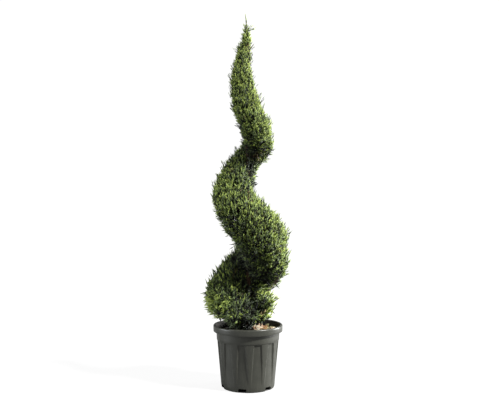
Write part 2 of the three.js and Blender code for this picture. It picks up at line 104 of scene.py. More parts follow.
MASS_TURNS = (72, 200, 310, 420, 530, 640, 750, 860, 970, 1090)
LEADER_FOOT = 1430
LEADER_FLARE = 1.6
CROWN_FOOT = 258
WALL_GAP_LOW = 22
WALL_GAP_HIGH = 7
LEVEL_SPRAY_TOP = 310
LEVEL_SPRAY_BAND = 150

# -------------------- sizes that only the looks have, mm

FLUTE_HALF_WIDTH = 7.2  # degrees, under the collar
FLUTE_DEPTH = 5.5  # deeper than the solids', for the shadows under their arched tops
FLUTE_EDGE = 1.9  # degrees that a flute's side takes
FLUTE_TOP_GAP = 3.4  # from a flute's arched top up to the collar
FLUTE_FADE_FOOT = 0.12  # share of the body's height where the flutes start to show
FLUTE_FADE = 0.6  # and over which they reach their full depth
NOTCH_HEIGHT = 17  # higher than the solids'
NOTCH_BLOCK = 44  # length of the blocks that cut the notches
HEEL_ROUND = 4.2  # the pot's lower edge
LIP_ROUND = 5.5  # the rim's rolled top
SKIRT_ROUND = 1.5  # and the lower edge of its skirt

TOP_SHOOT = 1496  # clipped tufts end here, and the leader's own shoots begin
SKIRT_TURN = 905  # azimuth of the foot's loose skirt, at the left
SKIRT_SPREAD = 36
SKIRT_TOP = 390
BELLY_SHADOW_TURN = 1000  # azimuth of the painted shade between the foot and the belly above it
BELLY_SHADOW_SPREAD = 24
BELLY_SHADOW_TOP = 440
TURN_ABOVE = 85  # how far up to look for foliage that hangs over a place, for painted shade under it
SHOOT_RISE = 1.1  # how far shoots turn upwards from the surface
STRAY_CLUMPS = 640
STRAYS_IN_CLUMP = 3
BRANCH_SPACING = 11.5
BRANCH_STEPS = 9

# -------------------- small helpers

def clamped(value):
    """The value kept within 0 and 1."""
    return min(max(value, 0), 1)


def in_scene(name, data):
    """An object for a mesh, lamp or camera, linked to the scene."""
    made = bpy.data.objects.new(name, data)
    bpy.context.scene.collection.objects.link(made)
    return made


def feed(node, inputs):
    """Sets a shader node's inputs, each to a value or to another node's output."""
    for socket, value in inputs.items():
        if isinstance(value, bpy.types.NodeSocket):
            node.id_data.links.new(value, node.inputs[socket])
        else:
            node.inputs[socket].default_value = value


def add(tree, kind, inputs, **settings):
    """Adds a shader node with its settings and inputs, and gives its outputs."""
    made = tree.nodes.new("ShaderNode" + kind)
    for name, value in settings.items():
        setattr(made, name, value)
    feed(made, inputs)
    return made.outputs


# -------------------- camera and light

def make_camera():
    data = bpy.data.cameras.new("camera")
    data.lens = 50
    data.sensor_width = 36
    data.clip_end = 60
    camera = in_scene("camera", data)
    camera.location = (0.009, -3.03, 0.812)
    camera.rotation_euler = (math.radians(90), 0, 0)
    bpy.context.scene.camera = camera


def make_lamp(name, kind, azimuth, elevation, distance, **settings):
    """A lamp aimed at the plant's middle, from an angle round from the front and above level."""
    data = bpy.data.lights.new(name, kind)
    for setting, value in settings.items():
        setattr(data, setting, value)
    around, above = math.radians(azimuth), math.radians(elevation)
    away = Vector((
        math.sin(around) * math.cos(above),
        -math.cos(around) * math.cos(above),
        math.sin(above),
    ))
    lamp = in_scene(name, data)
    lamp.location = Vector((0, 0, 0.8)) + away * distance
    lamp.rotation_euler = (-away).to_track_quat("-Z", "Y").to_euler()


def make_studio():
    """A broad key from high on the right, low and high strips behind it, a left fill, a white room."""
    make_lamp("key", "SUN", 64, 44, 6, energy=6.8, angle=math.radians(9), color=(1.0, 0.985, 0.95))
    make_lamp("side", "AREA", 112, -4, 3.6, shape="RECTANGLE", size=1.6, size_y=0.45, energy=245)
    make_lamp("back", "AREA", 170, 38, 4, shape="RECTANGLE", size=2.4, size_y=0.8, energy=70)
    make_lamp("fill", "AREA", -80, -2, 4, shape="SQUARE", size=2.5, energy=150, color=(0.95, 0.98, 1.0))
    world = bpy.data.worlds.new("studio")
    world.use_nodes = True
    tree = world.node_tree
    room = tree.nodes["Background"]
    feed(room, {"Color": (1, 1, 1, 1), "Strength": 0.17})
    # the sweep behind is over-exposed to white, but lights the plant no more than the room does
    sweep = add(tree, "Background", {"Color": (1, 1, 1, 1), "Strength": 1.05})["Background"]
    seen = add(tree, "LightPath", {})["Is Camera Ray"]
    either = add(tree, "MixShader", {"Fac": seen, 1: room.outputs["Background"], 2: sweep})["Shader"]
    feed(tree.nodes["World Output"], {"Surface": either})
    bpy.context.scene.world = world
    bpy.context.scene.view_settings.view_transform = "Standard"


# -------------------- materials

def linear(hex_colour):
    """Linear RGBA from an sRGB hex value such as "4a5b2c"."""
    channels = [int(hex_colour[k:k + 2], 16) / 255 for k in (0, 2, 4)]
    return (*[c / 12.92 if c <= 0.04045 else ((c + 0.055) / 1.055) ** 2.4 for c in channels], 1.0)


def new_material(name):
    """A node material, its tree and its surface shader."""
    made = bpy.data.materials.new(name)
    made.use_nodes = True
    return made, made.node_tree, made.node_tree.nodes["Principled BSDF"]


def per_metre(size_mm):
    """Noise scale whose features are about this size."""
    return 1 / (size_mm * MM)


def moulded_polypropylene():
    """Recycled black plastic, injection moulded: dull, faintly mottled and streaked with dust."""
    made, tree, shader = new_material("moulded_polypropylene")
    place = add(tree, "TexCoord", {})["Object"]
    mottle = add(tree, "TexNoise", {"Vector": place, "Scale": per_metre(45), "Detail": 4.0})["Fac"]
    colour = add(tree, "Mix", {
        "Factor": mottle, "A": linear("343530"), "B": linear("42433d"),
    }, data_type="RGBA")["Result"]
    drawn = add(tree, "Mapping", {"Vector": place, "Scale": (1, 1, 0.12)})["Vector"]
    streaks = add(tree, "TexNoise", {"Vector": drawn, "Scale": per_metre(6), "Detail": 3.0})["Fac"]
    dusty = add(tree, "MapRange", {
        "Value": streaks, "From Min": 0.5, "From Max": 0.8, "To Max": 0.28,
    })["Result"]
    dust = add(tree, "Mix", {
        "Factor": dusty, "A": colour, "B": linear("54554d"),
    }, data_type="RGBA")["Result"]
    gloss = add(tree, "MapRange", {"Value": mottle, "To Min": 0.28, "To Max": 0.42})["Result"]
    # the tool's fine spark texture is 0.6 mm; drawn at 1.5 mm so that it shows
    spark = add(tree, "TexNoise", {"Vector": place, "Scale": per_metre(1.5), "Detail": 2.0})["Fac"]
    relief = add(tree, "Bump", {"Height": spark, "Strength": 0.12, "Distance": 0.4 * MM})["Normal"]
    feed(shader, {
        "Base Color": dust, "Roughness": gloss, "Normal": relief, "IOR": 1.49,
        "Specular IOR Level": 0.5,
    })
    return made


def mottled(name, dark, mid, light, grain_mm, stretch=(1, 1, 1), rough=0.9, depth_mm=0.6):
    """A dull natural surface: two noises pick between three colours, and the finer one roughens it."""
    made, tree, shader = new_material(name)
    place = add(tree, "TexCoord", {})["Object"]
    lie = add(tree, "Mapping", {"Vector": place, "Scale": stretch})["Vector"]
    coarse = add(tree, "TexNoise", {
        "Vector": lie, "Scale": per_metre(4 * grain_mm), "Detail": 5.0,
    })["Fac"]
    fine = add(tree, "TexNoise", {"Vector": lie, "Scale": per_metre(grain_mm), "Detail": 6.0})["Fac"]
    patch = add(tree, "MapRange", {"Value": coarse, "From Min": 0.38, "From Max": 0.62})["Result"]
    base = add(tree, "Mix", {
        "Factor": patch, "A": linear(dark), "B": linear(mid),
    }, data_type="RGBA")["Result"]
    fleck = add(tree, "MapRange", {"Value": fine, "From Min": 0.5, "From Max": 0.68})["Result"]
    colour = add(tree, "Mix", {
        "Factor": fleck, "A": base, "B": linear(light),
    }, data_type="RGBA")["Result"]
    relief = add(tree, "Bump", {"Height": fine, "Strength": 0.7, "Distance": depth_mm * MM})["Normal"]
    feed(shader, {"Base Color": colour, "Normal": relief, "Roughness": rough})
    return made


def scale_leaf(name, colour):
    """Cypress spray: tiny overlapping scale leaves with a thin wax, one tint to a spray."""
    made, _, shader = new_material(name)
    feed(shader, {"Base Color": linear(colour), "Roughness": 0.55, "IOR": 1.42})
    return made


POT_PLASTIC = moulded_polypropylene()
# painted shade: the inside of the rim gets a darker, duller plastic that stands for the foliage's shadow
# on it
SHADE_PAINTED_PLASTIC = mottled("shade_painted_polypropylene", "161512", "201e1a", "37332c", 3, depth_mm=0.3)
# damp composted bark and peat: near black crumbs with brown fibres
POTTING_MIX = mottled("composted_bark_mix", "120e0b", "241a13", "4d3a2b", 2.5, depth_mm=1.2)
# stringy cypress bark: long shallow fissures in red-brown and grey
TRUNK_BARK = mottled(
    "stringy_cypress_bark", "2b1d15", "4f3829", "76604c", 2.2, stretch=(1, 1, 0.08), depth_mm=1.5)
# first-year wood, smoother and redder than the trunk
TWIG_BARK = mottled("young_cypress_twig", "26190f", "3f2c1c", "57422c", 1.5, stretch=(1, 1, 0.3))
CHIP_SKINS = [
    # torn pine bark, pinkish inside, and bleached sapwood
    mottled("pine_bark_chip", "8a6550", "c3a58c", "dccbb8", 1.6, stretch=(1, 0.25, 1)),
    mottled("orange_bark_chip", "6e4a2c", "a57a4d", "c9a377", 1.8, stretch=(0.3, 1, 1)),
    mottled("bleached_wood_chip", "a8957a", "d3c5aa", "ece4d2", 1.4, stretch=(1, 0.2, 1)),
    # river gravel that came with the mix
    mottled("olive_gravel", "4c4a2c", "6f6a42", "948f68", 1.2, rough=0.7, depth_mm=0.3),
    mottled("pale_gravel", "8f8578", "b3a999", "cfc8bc", 1.0, rough=0.7, depth_mm=0.3),
]
PINE, ORANGE, BLEACHED, OLIVE, PALE = range(len(CHIP_SKINS))
# one tint for each stage of growth, from fresh tips to old and dead sprays; the light and dark ends also
# stand for light and shade: painted light on sunlit sprays, painted shade in hollows, undersides and
# deep inside (the two darkest tints)
LEAF_TINTS = [scale_leaf(f"cypress_spray_{stage}", colour) for stage, colour in (
    ("tip", "a0b156"), ("fresh", "748842"), ("grown", "56663b"), ("old", "3b462f"),
    ("shaded", "21281e"), ("deep_shade", "0c110d"), ("browned", "756a45"),
)]
TIP, FRESH, GROWN, OLD, SHADED, DEEP_SHADE, BROWNED = range(len(LEAF_TINTS))


# -------------------- helpers for pieces

def piece_from(mesh, materials, slot, *nodes):
    """An object for a finished mesh, riding on the plant's one body and standing for CAD nodes."""
    piece = in_scene(mesh.name, mesh)
    for material in materials:
        mesh.materials.append(material)
    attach(piece, "root")
    if nodes:
        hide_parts(*nodes)


def mesh_from(shape, name, smooth=True):
    """A mesh from a bmesh that is then done with, its faces pointing out."""
    bmesh.ops.recalc_face_normals(shape, faces=shape.faces)
    for face in shape.faces:
        face.smooth = smooth
    mesh = bpy.data.meshes.new(name)
    shape.to_mesh(mesh)
    shape.free()
    return mesh


def mesh_from_arrays(name, points, triangles, tints=None):
    """A mesh of triangles from arrays of points in millimetres, corner numbers and tint numbers."""
    mesh = bpy.data.meshes.new(name)
    mesh.vertices.add(len(points))
    mesh.vertices.foreach_set("co", (np.asarray(points) * MM).astype(np.float32).ravel())
    mesh.loops.add(3 * len(triangles))
    mesh.loops.foreach_set("vertex_index", np.asarray(triangles, np.int32).ravel())
    mesh.polygons.add(len(triangles))
    mesh.polygons.foreach_set("loop_start", np.arange(0, 3 * len(triangles), 3, dtype=np.int32))
    mesh.polygons.foreach_set("use_smooth", np.ones(len(triangles), bool))
    if tints is not None:
        mesh.polygons.foreach_set("material_index", np.asarray(tints, np.int32))
    mesh.update(calc_edges=True)
    return mesh


def spun(profile, steps):
    """A bmesh turned from a profile of (radius, height) points in millimetres."""
    shape = bmesh.new()
    points = [shape.verts.new((radius * MM, 0, height * MM)) for radius, height in profile]
    edges = [shape.edges.new(pair) for pair in zip(points, points[1:])]
    bmesh.ops.spin(
        shape, geom=points + edges, cent=(0, 0, 0), axis=(0, 0, 1), dvec=(0, 0, 0),
        angle=math.tau, steps=steps, use_merge=True, use_duplicate=False)
    bmesh.ops.remove_doubles(shape, verts=shape.verts, dist=0.02 * MM)
    return shape


def bevelled(shape, edges, offset, segments):
    bmesh.ops.bevel(
        shape, geom=edges, offset=offset, offset_type="OFFSET", segments=segments, profile=0.5,
        affect="EDGES", material=-1)


def arc(across, height, radius, start, end, count):
    """Points of (radius, height) round a centre, from one angle to another in degrees."""
    angles = np.radians(np.linspace(start, end, count))
    return [(across + radius * math.cos(a), height + radius * math.sin(a)) for a in angles]


# -------------------- pot

def body_radius(height):
    """Outer radius of the tapering body, up to the ledge under the collar."""
    share = clamped(height / COLLAR_FOOT)
    return BASE_RADIUS + (COLLAR_RADIUS - COLLAR_STEP - LEDGE_ROUND - BASE_RADIUS) * share


def flute_cut(angle, height):
    """Depth of the flutes, at an angle from the front: they widen downwards, so the ribs taper."""
    share = clamped(height / COLLAR_FOOT)
    fade = clamped((share - FLUTE_FADE_FOOT) / FLUTE_FADE)
    spacing = 360 / FLUTES
    off = abs((angle - FLUTE_START + spacing / 2) % spacing - spacing / 2)
    half = FLUTE_HALF_WIDTH + (FLUTE_FOOT_HALF_WIDTH - FLUTE_HALF_WIDTH) * (1 - share) ** 0.8
    across = clamped((half - off) / FLUTE_EDGE)
    arch = clamped((COLLAR_FOOT - FLUTE_TOP_GAP - height) / 1.4)
    return FLUTE_DEPTH * fade ** 0.7 * arch * across * across * (3 - 2 * across)


def pot_profile():
    """Section of the pot from the middle of its underside, round the rim and back inside."""
    rim_foot = POT_HEIGHT - RIM_DROP
    pocket_top = rim_foot + RIM_POCKET
    collar_foot_radius = COLLAR_RADIUS - COLLAR_STEP - 0.4
    rows = list(np.linspace(12, COLLAR_FOOT - 9, 22))
    rows += [COLLAR_FOOT - below for below in (6.5, 5.5, 4.5, 3.2, 2)]
    section = [(0, 0), (BASE_RADIUS - 9, 0)]
    section += arc(BASE_RADIUS - 4.8, HEEL_ROUND, HEEL_ROUND, -80, -8, 6)
    section += [(body_radius(h), h) for h in rows]
    section += arc(collar_foot_radius - 0.9, COLLAR_FOOT + 0.9, 0.9, -90, 0, 4)
    section += [
        (collar_foot_radius + (COLLAR_RADIUS - collar_foot_radius) * share,
         COLLAR_FOOT + 1 + (pocket_top - COLLAR_FOOT - 1) * share)
        for share in (0.2, 0.5, 0.8, 1)
    ]
    section += [(RIM_RADIUS - 5, pocket_top), (RIM_RADIUS - 4, rim_foot + 3)]
    section += arc(RIM_RADIUS - 2.2, rim_foot + SKIRT_ROUND, SKIRT_ROUND, 190, 350, 7)
    section += [(RIM_RADIUS - 0.3, rim_foot + 9), (RIM_RADIUS, POT_HEIGHT - 9)]
    section += arc(RIM_RADIUS - LIP_ROUND, POT_HEIGHT - LIP_ROUND, LIP_ROUND, 8, 172, 13)
    section += [(COLLAR_RADIUS - POT_WALL, rim_foot + 8), (COLLAR_RADIUS - POT_WALL - 3, COLLAR_FOOT)]
    section += [(body_radius(h) - POT_WALL, h) for h in rows[::-5]]
    section += [(BASE_RADIUS - POT_WALL - 6, POT_FLOOR), (0, POT_FLOOR)]
    return section


def notch_cutters():
    """Round-cornered blocks that cut the drain notches through the foot of the wall."""
    cutters = bmesh.new()
    size = [side * MM for side in (NOTCH_WIDTH, NOTCH_BLOCK, 2 * NOTCH_HEIGHT)]
    for k in range(NOTCHES):
        before = set(cutters.verts)
        block = bmesh.ops.create_cube(cutters, size=1)["verts"]
        bmesh.ops.scale(cutters, verts=block, vec=size)
        edges = {edge for vert in block for edge in vert.link_edges}
        along = [e for e in edges if abs((e.verts[0].co - e.verts[1].co).normalized().y) > 0.9]
        bevelled(cutters, along, 4 * MM, 4)
        block = [vert for vert in cutters.verts if vert not in before]
        turn = Matrix.Rotation(math.radians(NOTCH_START + k * 360 / NOTCHES), 3, "Z")
        bmesh.ops.translate(cutters, verts=block, vec=(0, -(BASE_RADIUS + 3) * MM, 0))
        bmesh.ops.rotate(cutters, verts=block, cent=(0, 0, 0), matrix=turn)
    return mesh_from(cutters, "notch_cutters", smooth=False)


def make_pot():
    """The turned shell, fluted by moving its wall in, with the drain notches cut out."""
    shape = spun(pot_profile(), 360)
    for vert in shape.verts:
        x, y, height = (c / MM for c in vert.co)
        radius = math.hypot(x, y)
        if 8 < height < COLLAR_FOOT - 1 and radius > BASE_RADIUS - POT_WALL - 1:
            cut = flute_cut(math.degrees(math.atan2(x, -y)), height)
            vert.co.x *= 1 - cut / radius
            vert.co.y *= 1 - cut / radius
    shell = in_scene("shell", mesh_from(shape, "shell"))
    tool = in_scene("notch_cutters", notch_cutters())
    cut = shell.modifiers.new("drain_notches", "BOOLEAN")
    cut.operation = "DIFFERENCE"
    cut.solver = "EXACT"
    cut.object = tool
    finished = bpy.data.meshes.new_from_object(
        shell.evaluated_get(bpy.context.evaluated_depsgraph_get()))
    finished.name = "pot_shell"
    finished.set_sharp_from_angle(angle=math.radians(38))
    bpy.data.objects.remove(shell)
    bpy.data.objects.remove(tool)
    # painted shade: faces on the inside of the rim, above the collar, get the darker plastic of the
    # second slot
    for face in finished.polygons:
        x, y, height = (c / MM for c in face.center)
        inside = math.hypot(x, y) < RIM_RADIUS - 9 and height > COLLAR_FOOT + 4
        faces_in = face.normal.x * x + face.normal.y * y < 0
        face.material_index = int(inside and faces_in)
    piece_from(finished, [POT_PLASTIC, SHADE_PAINTED_PLASTIC], "nursery_pot", "pot")


# -------------------- potting mix, chips and gravel

def soil_top(x, y):
    """Height of the potting mix: level, falling off at the wall, in lumps and crumbs."""
    spot = Vector((x, y, 0))
    edge = COLLAR_RADIUS - POT_WALL - 1.5
    fall = SOIL_EDGE_DROP * clamped((spot.length - edge + 18) / 18)
    lumps = noise.noise(spot / 17) * 3.2 + noise.noise(spot / 6) * 1.8
    crumbs = abs(noise.noise(spot / 2.3)) * 1.6
    near_trunk = clamped((spot.length - 24) / 20)
    near_wall = clamped((edge - spot.length) / 4)
    return SOIL_LEVEL - fall + (lumps + crumbs) * near_trunk * near_wall


def make_soil():
    """The fill of the pot, 0.5 mm clear of its wall and floor, with a rough top."""
    inset = 0.5
    edge = COLLAR_RADIUS - POT_WALL - 1 - inset
    foot = BASE_RADIUS - POT_WALL
    profile = [(radius, SOIL_LEVEL) for radius in np.linspace(0, edge, 80)]
    profile += [
        (body_radius(COLLAR_FOOT) - POT_WALL - FLUTE_DEPTH - inset, COLLAR_FOOT - 1),
        (foot - inset - 1, 2.5 * NOTCH_HEIGHT),
        (foot - 20, 1.6 * NOTCH_HEIGHT),
        (foot - 26, POT_FLOOR + inset),
        (0, POT_FLOOR + inset),
    ]
    shape = spun(profile, 260)
    for vert in shape.verts:
        if vert.co.z > (SOIL_LEVEL - 8) * MM:
            vert.co.z = soil_top(vert.co.x / MM, vert.co.y / MM) * MM
    piece_from(mesh_from(shape, "potting_mix"), [POTTING_MIX], "potting_soil", "potting_soil")


def torn_block(draw, skew, offset, segments):
    """A bmesh of an uneven block about a unit across, with worn edges."""
    shape = bmesh.new()
    for vert in bmesh.ops.create_cube(shape, size=1)["verts"]:
        vert.co += Vector(draw.uniform(-skew, skew, 3))
    bevelled(shape, shape.edges[:], offset, segments)
    return shape


def worn_ball(draw):
    """A bmesh of an uneven ball about a unit across."""
    shape = bmesh.new()
    for vert in bmesh.ops.create_icosphere(shape, subdivisions=1, radius=0.5)["verts"]:
        vert.co *= draw.uniform(0.8, 1.12)
    return shape


def lump(shape):
    """A bmesh that is then done with, as arrays of points and triangles."""
    bmesh.ops.triangulate(shape, faces=shape.faces[:])
    bmesh.ops.recalc_face_normals(shape, faces=shape.faces[:])
    shape.verts.index_update()
    points = np.array([vert.co[:] for vert in shape.verts])
    triangles = np.array([[vert.index for vert in face.verts] for face in shape.faces])
    shape.free()
    return points, triangles


def spots_on_soil(draw, count, centre, spread, sink):
    """Places on the potting mix, in a loose heap round a centre and clear of trunk and wall."""
    spots = []
    while len(spots) < count:
        x, y = draw.normal(centre, spread)
        if 30 < math.hypot(x, y) < COLLAR_RADIUS - 18 and y > -30:
            spots.append((x, y, soil_top(x, y) - sink))
    return spots


def strewn(draw, forms, count, centre, spread, sink, widths, shares, tilt):
    """Copies of the forms on the mix, turned at random and standing on their lowest point."""
    spots = spots_on_soil(draw, count, centre, spread, sink)
    sizes = draw.uniform(*widths, (count, 1)) * draw.uniform(*shares, (count, 3))
    points, triangles, owners = [], [], []
    offset = 0
    for k, (spot, size) in enumerate(zip(spots, sizes)):
        form, faces = forms[int(draw.integers(len(forms)))]
        spin = Matrix.Rotation(draw.uniform(0, math.tau), 3, "Z")
        lean = Matrix.Rotation(draw.normal(0, tilt), 3, "X")
        turned = (form * size) @ np.array(spin @ lean).T
        turned[:, 2] -= turned[:, 2].min()
        points.append(turned + spot)
        triangles.append(faces + offset)
        owners += [k] * len(faces)
        offset += len(form)
    return np.concatenate(points), np.concatenate(triangles), np.array(owners)


def make_top_dressing():
    """Crumbs of the mix all over, and bark bits and gravel mostly on the right."""
    draw = np.random.default_rng(21)
    worn = [lump(worn_ball(draw)) for _ in range(6)]
    torn = [lump(torn_block(draw, skew=0.14, offset=0.09, segments=1)) for _ in range(6)]
    points, triangles, _ = strewn(
        draw, worn, count=900, centre=(0, 0), spread=(75, 75), sink=1.2, widths=(2.5, 7),
        shares=(0.6, 1.2), tilt=0.5)
    piece_from(mesh_from_arrays("mix_crumbs", points, triangles), [POTTING_MIX], "potting_soil")
    points, triangles, owners = strewn(
        draw, torn, count=46, centre=(66, 34), spread=(24, 20), sink=0.6, widths=(7, 17),
        shares=((0.8, 0.5, 0.3), (1.2, 0.8, 0.5)), tilt=0.3)
    skins = draw.choice(len(CHIP_SKINS), owners[-1] + 1, p=(0.34, 0.2, 0.26, 0.12, 0.08))[owners]
    piece_from(mesh_from_arrays("bark_bits", points, triangles, skins), CHIP_SKINS, "bark_chips")
    points, triangles, owners = strewn(
        draw, worn, count=60, centre=(40, 14), spread=(46, 12), sink=0.8, widths=(4, 9),
        shares=(0.7, 1.1), tilt=0.4)
    skins = OLIVE + draw.integers(0, 2, owners[-1] + 1)[owners]
    piece_from(mesh_from_arrays("gravel", points, triangles, skins), CHIP_SKINS, "bark_chips")


def make_chips():
    """The large chips, each a torn slab in the place of its solid."""
    draw = np.random.default_rng(8)
    skins = (PINE, BLEACHED, ORANGE, OLIVE, BLEACHED, PINE, OLIVE, PALE, ORANGE)
    for k in range(CHIPS):
        node = f"bark_chip_{k + 1}"
        low, high = (Vector(corner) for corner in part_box(node))
        shape = torn_block(draw, skew=0.12, offset=0.12, segments=2)
        bmesh.ops.subdivide_edges(shape, edges=shape.edges[:], cuts=1, use_grid_fill=True)
        seed = Vector((k * 3.1, 0, 0))
        for vert in shape.verts:
            vert.co *= 1 + 0.13 * noise.noise(vert.co * 3.5 + seed)
        reach = [max(abs(vert.co[axis]) for vert in shape.verts) for axis in range(3)]
        bmesh.ops.scale(shape, verts=shape.verts, vec=[
            (high[axis] - low[axis]) / 2 / reach[axis] for axis in range(3)])
        bmesh.ops.translate(shape, verts=shape.verts, vec=(low + high) / 2)
        piece_from(mesh_from(shape, f"chip_{k + 1}"), [CHIP_SKINS[skins[k]]], "bark_chips", node)


# -------------------- the clipped band's form, mm

def band_at(height, column):
    """A smooth curve through one column of the band's table."""
    heights, values = BAND[:, 0], BAND[:, column]
    last = len(BAND) - 1
    row = np.clip(np.searchsorted(heights, height) - 1, 0, last - 1)
    step = heights[row + 1] - heights[row]
    t = np.clip((height - heights[row]) / step, 0, 1)
    before, after = np.maximum(row - 1, 0), np.minimum(row + 2, last)
    slope_start = (values[row + 1] - values[before]) / (heights[row + 1] - heights[before])
    slope_end = (values[after] - values[row]) / (heights[after] - heights[row])
    rise = t * t * (3 - 2 * t)
    bend = t * (1 - t) ** 2 * step * slope_start + t * t * (t - 1) * step * slope_end
    return values[row] * (1 - rise) + values[row + 1] * rise + bend


def bell(azimuth, middle, spread):
    """1 at the middle azimuth and less the further round from it, whole turns left out."""
    off = (azimuth - middle + 180) % 360 - 180
    return np.exp(-((off / spread) ** 2))


def tuft_share(azimuth):
    """How much of an azimuth's foliage is the foot's last tuft."""
    return bell(azimuth, TUFT_TURN, TUFT_SPREAD)


def tuft_reach(height, azimuth):
    return np.interp(height, TUFT_HEIGHTS, TUFT_REACH, 0, 0) * tuft_share(azimuth)


def outline(height, azimuth):
    """Distance from the trunk's axis to the clipped outline, at an azimuth that may pass 360."""
    from_ridge = np.radians(azimuth - band_at(height, TURN))
    hollow = ((1 - np.cos(from_ridge)) / 2) ** band_at(height, BREADTH)
    fullness = (1 - hollow) ** band_at(height, TAPER)
    groove = band_at(height, GROOVE)
    clipped = groove + (band_at(height, REACH) - groove) * fullness
    return np.maximum(clipped, tuft_reach(height, azimuth))


def crown_share(height):
    """How far up the crown a height is: 0 at its foot, 1 where the leader starts."""
    return np.clip((height - CROWN_FOOT) / (LEADER_FOOT - CROWN_FOOT), 0, 1)


def axis_at(height):
    """The trunk's centre at each height."""
    height = np.asarray(height, float)
    share = np.clip((height - SOIL_LEVEL) / (PLANT_TOP - SOIL_LEVEL), 0, 1)
    sway = TRUNK_SWAY * np.sin(3 * np.pi * share) * share
    return np.stack([LEAN * share ** 1.3, sway, height], -1)


def trunk_radius(height):
    share = np.clip((height - SOIL_LEVEL) / (TRUNK_TOP - SOIL_LEVEL), 0, 1)
    flare = ROOT_FLARE * np.clip(1 - (height - SOIL_LEVEL) / FLARE_HEIGHT, 0, 1) ** 2
    return TRUNK_TIP_RADIUS + (TRUNK_FOOT_RADIUS - TRUNK_TIP_RADIUS) * (1 - share) ** 0.85 + flare


def point_at(height, azimuth, radius):
    around = np.radians(azimuth)
    spoke = np.stack([radius * np.cos(around), radius * np.sin(around), np.zeros_like(around)], -1)
    return axis_at(height) + spoke


def on_outline(height, azimuth):
    return point_at(height, azimuth, outline(height, azimuth))


def wall_radius(height):
    """Radius of the hollow round the trunk that the masses keep clear."""
    widening = (WALL_GAP_HIGH - WALL_GAP_LOW) * crown_share(height)
    return trunk_radius(height) + WALL_GAP_LOW + widening


def band_place(points):
    """Distance from the axis, and azimuth unwrapped to within half a turn of the ridge."""
    away = points - axis_at(points[:, 2])
    turn = band_at(points[:, 2], TURN)
    azimuth = np.degrees(np.arctan2(away[:, 1], away[:, 0]))
    azimuth = turn + (azimuth - turn + 180) % 360 - 180
    return np.hypot(away[:, 0], away[:, 1]), azimuth


def unit(vectors):
    return vectors / np.linalg.norm(vectors, axis=-1, keepdims=True)


def any_beside(draw, along):
    """A random direction square to each given one."""
    return unit(np.cross(along, draw.normal(0, 1, along.shape)))


# -------------------- trunk, boughs and branches

def grow(shape, points, radii, sides):
    """A limb: a circle extruded from point to point, narrowing, with closed ends."""
    points = [Vector(point) * MM for point in points]
    facing = (points[1] - points[0]).to_track_quat("Z", "Y").to_matrix().to_4x4()
    ring = bmesh.ops.create_circle(
        shape, cap_ends=True, radius=radii[0] * MM, segments=sides,
        matrix=Matrix.Translation(points[0]) @ facing)["verts"]
    edges = list({edge for vert in ring for edge in vert.link_edges})
    for k in range(1, len(points)):
        grown = bmesh.ops.extrude_edge_only(shape, edges=edges)["geom"]
        ring = [item for item in grown if isinstance(item, bmesh.types.BMVert)]
        inside = set(ring)
        edges = [
            item for item in grown
            if isinstance(item, bmesh.types.BMEdge) and set(item.verts) <= inside
        ]
        bmesh.ops.translate(shape, verts=ring, vec=points[k] - points[k - 1])
        bmesh.ops.scale(
            shape, verts=ring, vec=[radii[k] / radii[k - 1]] * 3,
            space=Matrix.Translation(-points[k]))
    bmesh.ops.contextual_create(shape, geom=edges)


def make_trunk():
    """The stem with stringy bark: fissures wander along it, and the foot spreads in lobes."""
    heights = np.concatenate([
        np.linspace(SOIL_LEVEL + 0.3, SOIL_LEVEL + 60, 24),
        np.linspace(SOIL_LEVEL + 66, TRUNK_TOP, 150),
    ])
    shape = bmesh.new()
    points = axis_at(heights)
    points[0, :2] = axis_at(SOIL_LEVEL)[:2]
    grow(shape, points, trunk_radius(heights), 30)
    for vert in shape.verts:
        height = vert.co.z / MM
        centre = axis_at(height)
        away = Vector((vert.co.x / MM - centre[0], vert.co.y / MM - centre[1], 0))
        around = math.atan2(away.y, away.x)
        low = clamped(1 - (height - SOIL_LEVEL) / 70)
        lobes = 0.13 * low * math.cos(5 * around + 0.6) + 0.06 * low * math.cos(3 * around + 2)
        grain = Vector((math.cos(around) * 4, math.sin(around) * 4, height / 60))
        fissure = abs(noise.noise(grain)) + 0.5 * abs(noise.noise(grain * 2.3))
        relief = (0.05 - 0.2 * fissure) * min(1, away.length / 6)
        vert.co.x += away.x * (lobes + relief) * MM
        vert.co.y += away.y * (lobes + relief) * MM
    piece_from(mesh_from(shape, "stem"), [TRUNK_BARK], "bark", "trunk")


def branch_starts(draw):
    """Height, azimuth and thickness (a share of the trunk's) of each branch.

    The first of each mass is its main bough, at the height and azimuth of the solid one. The rest
    stand all up the stem, mostly on the ridge's side.
    """
    starts = []
    for k in range(len(MASS_TURNS) - 1):
        low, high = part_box(f"bough_{k + 1}")
        middle = (np.array(low) + np.array(high)) / 2 / MM
        away = middle - axis_at(middle[2])
        starts.append((middle[2] - BOUGH_RISE * math.hypot(away[0], away[1]),
                       math.degrees(math.atan2(away[1], away[0])), BOUGH_SHARE))
    for height in np.arange(CROWN_FOOT + 6, TRUNK_TOP - 60, BRANCH_SPACING):
        azimuth = band_at(height, TURN) + draw.normal(0, 62) + 8
        starts.append((height, azimuth, draw.uniform(0.22, 0.36)))
    return starts


